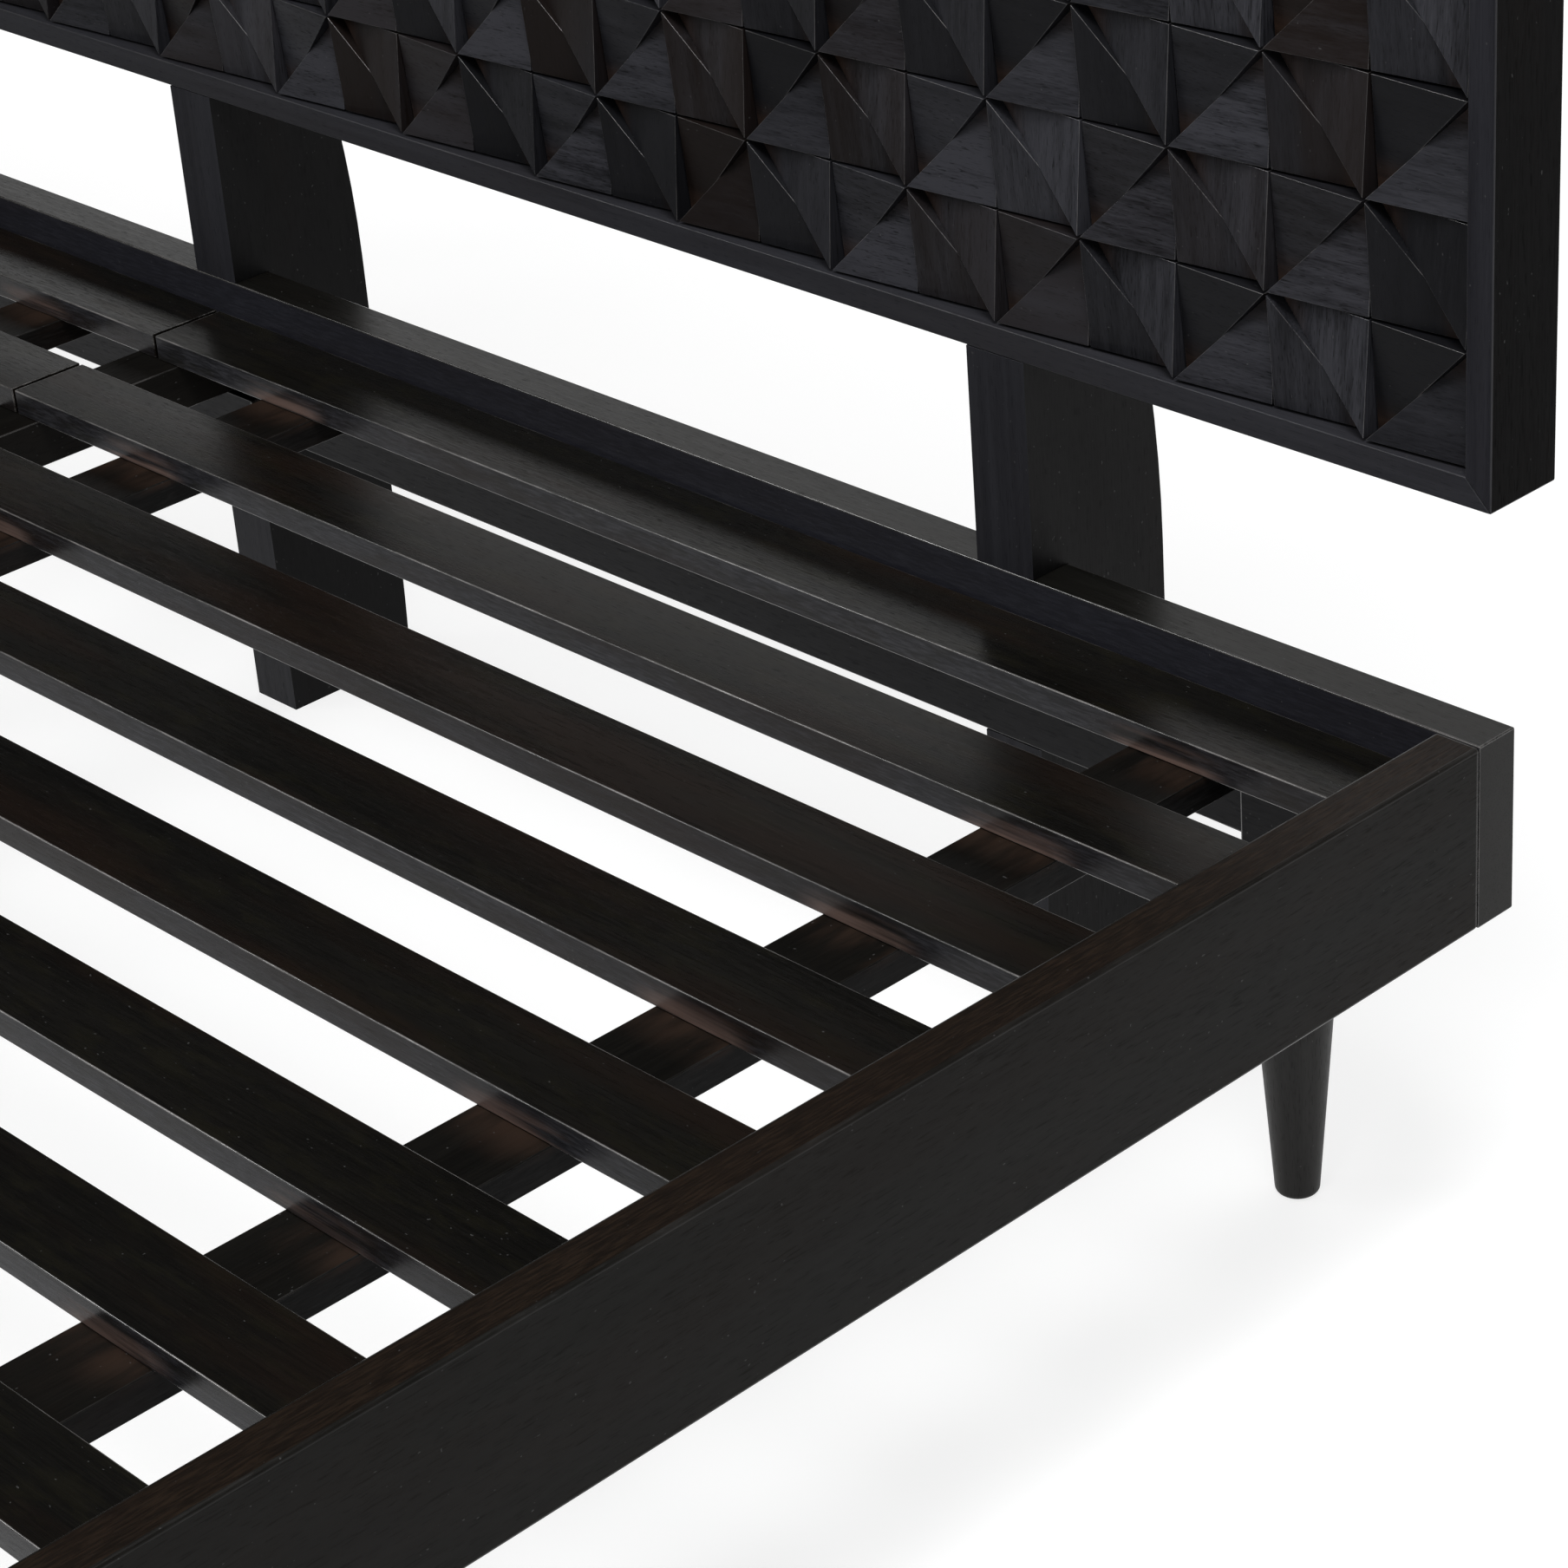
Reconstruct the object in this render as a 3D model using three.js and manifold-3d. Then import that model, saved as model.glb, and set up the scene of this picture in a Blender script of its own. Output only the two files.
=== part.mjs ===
// A king-size platform bed in black-stained hardwood, in millimetres, +Z up.
// The head end is at +Y, the foot end at -Y. The origin is on the floor, in the middle of the bed's outline.
// Three plank posts stand behind the head rail and carry a headboard of carved, faceted wooden tiles.
// Two slat decks, left and right, lie loose in the frame on ledgers and on a centre beam.

import * as THREE from 'three';
import { mergeVertices } from 'three/addons/utils/BufferGeometryUtils.js';
import Module from 'manifold-3d';

const wasm = await Module();
wasm.setup();

// ---- Driving dimensions ----

const BED_WIDTH = 2034; // over the outer faces of the side rails
const INNER_LENGTH = 2048; // from head rail to foot rail, inside
const RAIL_TOP = 308; // above the floor
const RAIL_HEIGHT = 102;
const END_RAIL_THICKNESS = 27; // head rail and foot rail
const SIDE_RAIL_THICKNESS = 26.5;
const LEDGER_WIDTH = 25; // strip glued inside each side rail, under the slat ends
const LEDGER_HEIGHT = 28;
const LEDGER_CLEARANCE = 4; // between a ledger's end and the leg cleat beside it

const SLATS_PER_DECK = 19;
const SLAT_WIDTH = 51.8;
const SLAT_THICKNESS = 16;
const SLAT_PITCH = 108.2;
const SLAT_DROP = 22.5; // slat top below rail top
const SLAT_END_CLEARANCE = 2; // to the side rail and to the head rail
const DECK_SEAM = 3; // between the two decks, on the centre line
const BATTEN_THICKNESS = 17.3;
const BATTEN_OUTER_X = 860.4; // middle of each batten, from the centre line
const BATTEN_INNER_X = 134.2;

const BEAM_WIDTH = 43;
const BEAM_HEIGHT = 30;
const BEAM_CLEAT_LENGTH = 90; // block glued inside each end rail, carrying the beam's end
const CENTRE_LEG_SIZE = 40;

const POST_WIDTH = 41;
const POST_DEPTH = 102;
const POST_FOOT_DEPTH = 99.6;
const POST_FOOT_CURVE = 78; // height at which the back edge starts to draw in towards the floor
const POST_SHOULDER = RAIL_TOP - 15; // height at which the back edge starts to draw in towards the top
const POST_TIP_HEIGHT = RAIL_TOP + 232;
const POST_TIP_THICKNESS = 10; // what stands behind the headboard at the post's top
const POST_OUTER_X = 700.6;
const POST_CURVE_SEGMENTS = 10;

const HEADBOARD_THICKNESS = 49.3;
const HEADBOARD_LIFT = 124.8; // headboard's lower edge above rail top
const HEADBOARD_OVERHANG = 4.7; // past the side rail's outer face
const HEADBOARD_BORDER = 15.3; // face width of the headboard's frame
const TILE_COLUMNS = 33;
const TILE_ROWS = 11;
const TILE_GAP = 1; // between the tiles and the frame around them
const TILE_RECESS = 1.5; // highest point of the carving, behind the frame's face
const CARVING_DEPTH = 10; // from the highest to the lowest point of the carving
const CARVING_STEP = 1.6; // how far the foot of each carved step stands off its star point
const PANEL_INSET = 12; // the panel's back, in from the frame's back edge

const LEG_TOP_RADIUS = 27.3;
const LEG_FOOT_RADIUS = 12.2;
const LEG_FOOT_ROUND = 3;
const LEG_FROM_SIDE = 117.8; // leg axis, in from the side rail's outer face
const LEG_FROM_END = 1.5; // leg axis, in from the end rail's inner face
const LEG_SEGMENTS = 28;
const CLEAT_LENGTH = 112; // block glued inside the end rail, from over the leg up to the batten
const CLEAT_THICKNESS = 17.5;

const FIT = 0.3; // gap left where two pieces touch
const SINK = 1; // how far one glued block is sunk in another to make one solid
const SAME_POINT = 1e-4; // corners closer than this are one corner

// ---- Worked out from the driving dimensions ----

const HALF_WIDTH = BED_WIDTH / 2;
const BED_LENGTH = POST_DEPTH + INNER_LENGTH + END_RAIL_THICKNESS;
const HEAD_FACE = BED_LENGTH / 2 - POST_DEPTH; // y of the head rail's inner face
const FOOT_FACE = HEAD_FACE - INNER_LENGTH; // y of the foot rail's inner face
const RAIL_BOTTOM = RAIL_TOP - RAIL_HEIGHT;
const SLAT_TOP = RAIL_TOP - SLAT_DROP;
const SLAT_BOTTOM = SLAT_TOP - SLAT_THICKNESS;
const DECK_SEAT = SLAT_BOTTOM - FIT; // top of ledgers, battens and centre beam
const SIDE_INNER_X = HALF_WIDTH - SIDE_RAIL_THICKNESS;
const HEADBOARD_HALF = HALF_WIDTH + HEADBOARD_OVERHANG;
const HEADBOARD_BOTTOM = RAIL_TOP + HEADBOARD_LIFT;
const HEADBOARD_BACK = HEAD_FACE + HEADBOARD_THICKNESS;
const FIELD_HALF = HEADBOARD_HALF - HEADBOARD_BORDER - TILE_GAP;
const TILE = (2 * FIELD_HALF) / TILE_COLUMNS;
const FIELD_BOTTOM = HEADBOARD_BOTTOM + HEADBOARD_BORDER + TILE_GAP;
const FIELD_TOP = FIELD_BOTTOM + TILE * TILE_ROWS;
const HEADBOARD_TOP = FIELD_TOP + TILE_GAP + HEADBOARD_BORDER;

// ---- Materials ----

const stain = (color, roughness = 0.42) => new THREE.MeshStandardMaterial({ color, roughness, metalness: 0 });
const railWood = stain(0x1b1c20);
const slatWood = stain(0x1f1a19);
const postWood = stain(0x191a1d);
const carvedWood = stain(0x17181c, 0.5);
const beamWood = stain(0x1e1b1a, 0.6);

const bed = new THREE.Group();

function addPiece(name, geometry, material) {
  const mesh = new THREE.Mesh(geometry, material);
  mesh.name = name;
  bed.add(mesh);
  return mesh;
}

// ---- Geometry helpers ----

// A rectangular timber between two corners.
function timber([x0, y0, z0], [x1, y1, z1]) {
  const geometry = new THREE.BoxGeometry(x1 - x0, y1 - y0, z1 - z0);
  geometry.translate((x0 + x1) / 2, (y0 + y1) / 2, (z0 + z1) / 2);
  return geometry;
}

// A side outline, drawn as (y, z), given a width along x about x = middle.
function plankOnEdge(outline, middle, width) {
  const options = { depth: width, bevelEnabled: false, curveSegments: POST_CURVE_SEGMENTS };
  const geometry = new THREE.ExtrudeGeometry(outline, options);
  const alongX = new THREE.Matrix4().makeBasis(
    new THREE.Vector3(0, 1, 0),
    new THREE.Vector3(0, 0, 1),
    new THREE.Vector3(1, 0, 0),
  );
  geometry.applyMatrix4(alongX);
  geometry.translate(middle - width / 2, 0, 0);
  return geometry;
}

// A front outline, drawn as (x, z), given a depth along y from y = front.
function boardFacingFoot(outline, front, depth) {
  const geometry = new THREE.ExtrudeGeometry(outline, { depth, bevelEnabled: false });
  geometry.rotateX(Math.PI / 2);
  geometry.translate(0, front + depth, 0);
  return geometry;
}

function outlineOf(points) {
  return new THREE.Shape(points.map(([a, b]) => new THREE.Vector2(a, b)));
}

function toSolid(geometry) {
  const bare = geometry.clone();
  bare.deleteAttribute('normal');
  bare.deleteAttribute('uv');
  const merged = mergeVertices(bare, SAME_POINT);
  const mesh = new wasm.Mesh({
    numProp: 3,
    vertProperties: new Float32Array(merged.attributes.position.array),
    triVerts: new Uint32Array(merged.index.array),
  });
  return new wasm.Manifold(mesh);
}

function toGeometry(solid) {
  const mesh = solid.getMesh();
  const geometry = new THREE.BufferGeometry();
  geometry.setAttribute('position', new THREE.BufferAttribute(mesh.vertProperties, 3));
  geometry.setIndex(new THREE.BufferAttribute(mesh.triVerts, 1));
  geometry.computeVertexNormals();
  return geometry;
}

function glued(...geometries) {
  return toGeometry(geometries.map(toSolid).reduce((whole, next) => whole.add(next)));
}

// ---- Rails ----

// A head or foot rail runs the full width. A leg cleat is glued inside it near each end,
// and a lower cleat in the middle, under the centre beam.
// face is the y of its inner face, and inward is +1 or -1 towards the mattress.
function endRail(face, inward) {
  const outer = face - inward * END_RAIL_THICKNESS;
  const pieces = [timber(
    [-HALF_WIDTH, Math.min(face, outer), RAIL_BOTTOM],
    [HALF_WIDTH, Math.max(face, outer), RAIL_TOP],
  )];
  const sunk = face - inward * SINK;
  const proud = face + inward * CLEAT_THICKNESS;
  for (const side of [-1, 1]) {
    const nearSide = side * (SIDE_INNER_X - FIT);
    const farSide = side * (SIDE_INNER_X - FIT - CLEAT_LENGTH);
    pieces.push(timber(
      [Math.min(nearSide, farSide), Math.min(sunk, proud), RAIL_BOTTOM],
      [Math.max(nearSide, farSide), Math.max(sunk, proud), DECK_SEAT - BATTEN_THICKNESS - FIT],
    ));
  }
  pieces.push(timber(
    [-BEAM_CLEAT_LENGTH / 2, Math.min(sunk, proud), RAIL_BOTTOM],
    [BEAM_CLEAT_LENGTH / 2, Math.max(sunk, proud), DECK_SEAT - BEAM_HEIGHT - FIT],
  ));
  return glued(...pieces);
}

// A side rail fits between the end rails, with a ledger glued inside it for the slat ends.
function sideRail(side) {
  const headEnd = HEAD_FACE - FIT;
  const footEnd = FOOT_FACE + FIT;
  const ledgerEnd = CLEAT_THICKNESS + LEDGER_CLEARANCE;
  const outer = side * HALF_WIDTH;
  const inner = side * SIDE_INNER_X;
  const sunk = inner + side * SINK;
  const proud = inner - side * LEDGER_WIDTH;
  return glued(
    timber([Math.min(outer, inner), footEnd, RAIL_BOTTOM], [Math.max(outer, inner), headEnd, RAIL_TOP]),
    timber(
      [Math.min(sunk, proud), footEnd + ledgerEnd, DECK_SEAT - LEDGER_HEIGHT],
      [Math.max(sunk, proud), headEnd - ledgerEnd, DECK_SEAT],
    ),
  );
}

addPiece('head_rail', endRail(HEAD_FACE, -1), railWood);
addPiece('foot_rail', endRail(FOOT_FACE, 1), railWood);
addPiece('side_rail_right', sideRail(1), railWood);
addPiece('side_rail_left', sideRail(-1), railWood);

// ---- Posts ----

// A post is a plank on edge: notched around the head rail, notched again under the headboard,
// and curved along its back so that it thins towards the top.
function postOutline() {
  const front = HEAD_FACE;
  const back = HEAD_FACE + POST_DEPTH;
  const railNotch = HEAD_FACE + END_RAIL_THICKNESS + FIT;
  const boardNotch = HEADBOARD_BACK + FIT;
  const footBack = HEAD_FACE + POST_FOOT_DEPTH;
  const outline = new THREE.Shape();
  outline.moveTo(front, 0);
  outline.lineTo(footBack, 0);
  outline.quadraticCurveTo(back, POST_FOOT_CURVE / 2, back, POST_FOOT_CURVE);
  outline.lineTo(back, POST_SHOULDER);
  outline.quadraticCurveTo(
    back,
    (POST_SHOULDER + POST_TIP_HEIGHT) / 2,
    boardNotch + POST_TIP_THICKNESS,
    POST_TIP_HEIGHT,
  );
  outline.lineTo(boardNotch, POST_TIP_HEIGHT);
  outline.lineTo(boardNotch, HEADBOARD_BOTTOM - FIT);
  outline.lineTo(front, HEADBOARD_BOTTOM - FIT);
  outline.lineTo(front, RAIL_TOP + FIT);
  outline.lineTo(railNotch, RAIL_TOP + FIT);
  outline.lineTo(railNotch, RAIL_BOTTOM - FIT);
  outline.lineTo(front, RAIL_BOTTOM - FIT);
  outline.closePath();
  return outline;
}

const posts = { right: POST_OUTER_X, centre: 0, left: -POST_OUTER_X };
for (const [place, x] of Object.entries(posts)) {
  addPiece(`head_post_${place}`, plankOnEdge(postOutline(), x, POST_WIDTH), postWood);
}

// ---- Headboard frame ----

// The four frame boards meet in mitres at the corners.
function frameBoards() {
  const out = HEADBOARD_HALF;
  const inn = HEADBOARD_HALF - HEADBOARD_BORDER;
  const lowInner = HEADBOARD_BOTTOM + HEADBOARD_BORDER;
  const highInner = HEADBOARD_TOP - HEADBOARD_BORDER;
  const g = FIT / 2; // half the joint gap, taken off each side of a mitre
  return {
    headboard_bottom_rail: [
      [-out + g, HEADBOARD_BOTTOM], [out - g, HEADBOARD_BOTTOM], [inn - g, lowInner], [-inn + g, lowInner],
    ],
    headboard_top_rail: [
      [-inn + g, highInner], [inn - g, highInner], [out - g, HEADBOARD_TOP], [-out + g, HEADBOARD_TOP],
    ],
    headboard_stile_right: [
      [out, HEADBOARD_BOTTOM + g], [out, HEADBOARD_TOP - g], [inn, highInner - g], [inn, lowInner + g],
    ],
    headboard_stile_left: [
      [-inn, lowInner + g], [-inn, highInner - g], [-out, HEADBOARD_TOP - g], [-out, HEADBOARD_BOTTOM + g],
    ],
  };
}

for (const [name, corners] of Object.entries(frameBoards())) {
  addPiece(name, boardFacingFoot(outlineOf(corners), HEAD_FACE, HEADBOARD_THICKNESS), postWood);
}

// ---- Carved panel ----

// The panel is a grid of square tiles. Grid corners alternate between level corners and star points.
// Every tile is folded along the diagonal that joins its two star points. Each half is one flat facet
// that is high at one star point and low at the other, so eight facets step up and down around each star.
function carvedPanel() {
  const peakY = HEAD_FACE + TILE_RECESS;
  const levelY = peakY + CARVING_DEPTH / 2;
  const hollowY = peakY + CARVING_DEPTH;
  const backY = HEADBOARD_BACK - PANEL_INSET;
  const positions = [];
  const indices = [];
  const known = new Map();

  function vertex(x, y, z) {
    const key = `${x.toFixed(3)},${y.toFixed(3)},${z.toFixed(3)}`;
    if (!known.has(key)) {
      known.set(key, positions.length / 3);
      positions.push(x, y, z);
    }
    return known.get(key);
  }
  const gridX = (column) => FIELD_HALF - column * TILE; // columns run from the right
  const gridZ = (row) => FIELD_BOTTOM + row * TILE; // rows run from the bottom
  const isStar = (column, row) => (column + row) % 2 === 1;
  const corner = (column, row) => vertex(gridX(column), isStar(column, row) ? peakY : levelY, gridZ(row));
  // Triangles are given counter-clockwise as seen from the foot end, with x to the right and z up.
  const facet = (a, b, c) => indices.push(a, b, c);

  // One half of a tile: level corner, the star point where it is high, the star point where it is low.
  function halfTile(level, high, low, middle) {
    const lowX = gridX(low[0]);
    const lowZ = gridZ(low[1]);
    const inX = (gridX(level[0]) + gridX(high[0])) / 2 - lowX;
    const inZ = (gridZ(level[1]) + gridZ(high[1])) / 2 - lowZ;
    const reach = CARVING_STEP / Math.hypot(inX, inZ);
    const hollow = vertex(lowX + inX * reach, hollowY, lowZ + inZ * reach);
    const levelCorner = corner(...level);
    const highCorner = corner(...high);
    const lowPeak = corner(...low);
    facet(levelCorner, middle, highCorner);
    facet(levelCorner, hollow, middle);
    facet(hollow, lowPeak, middle);
    facet(levelCorner, lowPeak, hollow);
  }

  for (let row = 0; row < TILE_ROWS; row += 1) {
    for (let column = 0; column < TILE_COLUMNS; column += 1) {
      const bottomRight = [column, row];
      const bottomLeft = [column + 1, row];
      const topRight = [column, row + 1];
      const topLeft = [column + 1, row + 1];
      const middle = vertex(gridX(column + 0.5), levelY, gridZ(row + 0.5));
      if (isStar(...topRight)) {
        halfTile(topLeft, topRight, bottomLeft, middle);
        halfTile(bottomRight, bottomLeft, topRight, middle);
      } else {
        halfTile(topRight, bottomRight, topLeft, middle);
        halfTile(bottomLeft, topLeft, bottomRight, middle);
      }
    }
  }

  // Sides and back: the carved edge is carried straight back to a flat rear face.
  const rim = [];
  for (let c = 0; c < TILE_COLUMNS; c += 1) rim.push([c, 0]);
  for (let r = 0; r < TILE_ROWS; r += 1) rim.push([TILE_COLUMNS, r]);
  for (let c = TILE_COLUMNS; c > 0; c -= 1) rim.push([c, TILE_ROWS]);
  for (let r = TILE_ROWS; r > 0; r -= 1) rim.push([0, r]);
  const rear = rim.map(([c, r]) => vertex(gridX(c), backY, gridZ(r)));
  const rearMiddle = vertex(0, backY, (FIELD_BOTTOM + FIELD_TOP) / 2);
  rim.forEach(([c, r], i) => {
    const next = (i + 1) % rim.length;
    const front = corner(c, r);
    const frontNext = corner(...rim[next]);
    facet(front, frontNext, rear[i]);
    facet(frontNext, rear[next], rear[i]);
    facet(rear[i], rear[next], rearMiddle);
  });

  const geometry = new THREE.BufferGeometry();
  geometry.setAttribute('position', new THREE.Float32BufferAttribute(positions, 3));
  geometry.setIndex(indices);
  geometry.computeVertexNormals();
  return geometry;
}

addPiece('carved_panel', carvedPanel(), carvedWood);

// ---- Centre beam and its leg ----

addPiece('centre_beam', timber(
  [-BEAM_WIDTH / 2, FOOT_FACE + FIT, DECK_SEAT - BEAM_HEIGHT],
  [BEAM_WIDTH / 2, HEAD_FACE - FIT, DECK_SEAT],
), beamWood);

const middleY = (HEAD_FACE + FOOT_FACE) / 2;
addPiece('centre_leg', timber(
  [-CENTRE_LEG_SIZE / 2, middleY - CENTRE_LEG_SIZE / 2, 0],
  [CENTRE_LEG_SIZE / 2, middleY + CENTRE_LEG_SIZE / 2, DECK_SEAT - BEAM_HEIGHT - FIT],
), beamWood);

// ---- Turned legs ----

// A straight taper with a rounded foot, standing under the end rail and its cleat.
function turnedLeg() {
  const top = RAIL_BOTTOM - FIT;
  const r = LEG_FOOT_ROUND;
  const halfwayRound = r * (1 - Math.SQRT1_2);
  const profile = [
    [0, 0],
    [LEG_FOOT_RADIUS - r, 0],
    [LEG_FOOT_RADIUS - halfwayRound, halfwayRound],
    [LEG_FOOT_RADIUS, r],
    [LEG_TOP_RADIUS, top],
    [0, top],
  ].map(([radius, height]) => new THREE.Vector2(radius, height));
  const geometry = new THREE.LatheGeometry(profile, LEG_SEGMENTS);
  geometry.rotateX(Math.PI / 2);
  return geometry;
}

const legX = HALF_WIDTH - LEG_FROM_SIDE;
const headLegY = HEAD_FACE - LEG_FROM_END;
const footLegY = FOOT_FACE + LEG_FROM_END;
const legs = {
  head_right: [legX, headLegY],
  head_left: [-legX, headLegY],
  foot_right: [legX, footLegY],
  foot_left: [-legX, footLegY],
};
for (const [place, [x, y]] of Object.entries(legs)) {
  const leg = addPiece(`turned_leg_${place}`, turnedLeg(), postWood);
  leg.position.set(x, y, 0);
}

// ---- Slat decks ----

// Each deck is a row of slats screwed down on two battens, and it lifts out in one piece.
const slatReach = SIDE_INNER_X - SLAT_END_CLEARANCE;
const firstSlatBack = HEAD_FACE - SLAT_END_CLEARANCE;
const lastSlatFront = firstSlatBack - (SLATS_PER_DECK - 1) * SLAT_PITCH - SLAT_WIDTH;
for (const [place, side] of [['right', 1], ['left', -1]]) {
  const seamEnd = (side * DECK_SEAM) / 2;
  const railEnd = side * slatReach;
  for (let i = 0; i < SLATS_PER_DECK; i += 1) {
    const back = firstSlatBack - i * SLAT_PITCH;
    const number = String(i + 1).padStart(2, '0');
    addPiece(`slat_${place}_${number}`, timber(
      [Math.min(seamEnd, railEnd), back - SLAT_WIDTH, SLAT_BOTTOM],
      [Math.max(seamEnd, railEnd), back, SLAT_TOP],
    ), slatWood);
  }
  for (const [position, x] of [['outer', BATTEN_OUTER_X], ['inner', BATTEN_INNER_X]]) {
    addPiece(`batten_${place}_${position}`, timber(
      [side * x - SLAT_WIDTH / 2, lastSlatFront, DECK_SEAT - BATTEN_THICKNESS],
      [side * x + SLAT_WIDTH / 2, firstSlatBack, DECK_SEAT],
    ), slatWood);
  }
}

export default bed;
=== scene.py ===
"""A black-stained platform bed with a carved headboard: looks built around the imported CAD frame."""
import math
import random

import bpy
from mathutils import Matrix, Vector


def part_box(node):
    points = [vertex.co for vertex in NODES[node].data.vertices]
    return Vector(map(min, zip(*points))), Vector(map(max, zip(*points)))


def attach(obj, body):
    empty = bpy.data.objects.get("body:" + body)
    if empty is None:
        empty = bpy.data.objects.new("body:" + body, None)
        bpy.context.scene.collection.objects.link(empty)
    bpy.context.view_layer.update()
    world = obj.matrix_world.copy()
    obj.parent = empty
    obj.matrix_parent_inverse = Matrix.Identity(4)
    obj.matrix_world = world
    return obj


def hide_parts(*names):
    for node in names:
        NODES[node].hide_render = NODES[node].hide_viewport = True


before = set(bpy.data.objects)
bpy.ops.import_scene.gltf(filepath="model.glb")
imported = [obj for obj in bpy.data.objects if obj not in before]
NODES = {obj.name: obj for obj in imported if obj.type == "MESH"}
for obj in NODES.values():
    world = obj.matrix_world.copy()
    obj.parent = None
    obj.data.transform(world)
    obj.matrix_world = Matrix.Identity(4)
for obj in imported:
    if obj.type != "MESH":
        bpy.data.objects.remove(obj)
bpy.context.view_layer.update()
FRAME_BODY = "bed_frame"
RNG = random.Random(7)

# Camera: it looks at the corner where the right side rail meets the head rail.
CAMERA_AZIMUTH = 48.51
CAMERA_ELEVATION = 28.50
CAMERA_ROLL = -4.60
CAMERA_DISTANCE = 2.014
CORNER_RIGHT_OF_AXIS = 0.3358
CORNER_ABOVE_AXIS = 0.0177
CAMERA_LENS = 95.85
CAMERA_SENSOR = 36.0
CAMERA_REACH = 200.0
SEAM_AT_CORNER = 0.0003  # gap between the side rail and the head rail

# Carving
TILE_COLUMNS = 33
TILE_ROWS = 11
CARVING_DEPTH = 0.010
TILE_SEAM = 0.0006
FACET_SEAM = 0.0002
TILE_BASE = 0.004  # block left behind the deepest point of the carving
TILE_JITTER = 0.0004
LEAST_THICKNESS = 0.001
GRAIN_SHIFT = 40  # how far apart, in metres of grain, two tiles may be cut from
HALF_TILE_TONE = 0.2  # how far a half tile's tone strays from its tile's
# Painted light and shade: tone shift of the upper and lower half of a tile, lighter where the facet faces
# the key light and darker where it faces away, for a tile with its star at the top right or at the top left.
HALF_PAINTED_SHADING = {(True, True): -0.25, (True, False): 0.45, (False, True): 0.1, (False, False): -0.15}

LEG_FOOT_RADIUS = 0.0122
LEG_TOP_RADIUS = 0.0273
LEG_FOOT_ROUND = 0.0035
LEG_SEGMENTS = 72
LEG_FOOT_STEPS = 6
LEG_TAPER_STEPS = 12
LEG_TOP_CHAMFER = 0.001

EDGE_SLAT = 0.0007
EDGE_RAIL = 0.0009
EDGE_SIDE_RAIL = 0.0022
EDGE_BOARD = 0.0007
EDGE_TILE = 0.00025
EDGE_ANGLE = 35  # corners sharper than this, in degrees, are rounded
WELD_DISTANCE = 0.00002

PIECE_GRAIN_SHIFT = (17.0, 29.0, 43.0)

WORLD_BRIGHTNESS = 0.12
FLOOR_GLOW = 0.78
FLOOR_GREYS = ((0.34, 0.34, 0.34, 1), (0.36, 0.36, 0.36, 1))
FLOOR_MOTTLE = (3.0, 3.0, 3.0)
FLOOR_ROUGHNESS = 0.9
FLOOR_SPECULAR = 0.1
FLOOR_REACH = 60.0
# Softboxes: where each stands, what it points at, its width and height, and the brightness of its face.
SOFTBOXES = {
    "backdrop_glow": ((-1.0, 3.0, 1.1), (-1.0, 0.0, 1.1), (6.0, 2.2), 1.0),
    "overhead": ((0.6, -0.6, 3.4), (0.4, 0.2, 0.3), (3.0, 3.0), 1.8),
    "key": ((1.7, 0.1, 2.9), (0.8, 0.98, 0.7), (1.0, 1.0), 19.5),
    "front_left": ((-2.6, -1.9, 2.8), (0.2, 0.3, 0.3), (1.2, 1.2), 14.0),
}

# ---------------------------------------------------------------- node helpers


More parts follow.
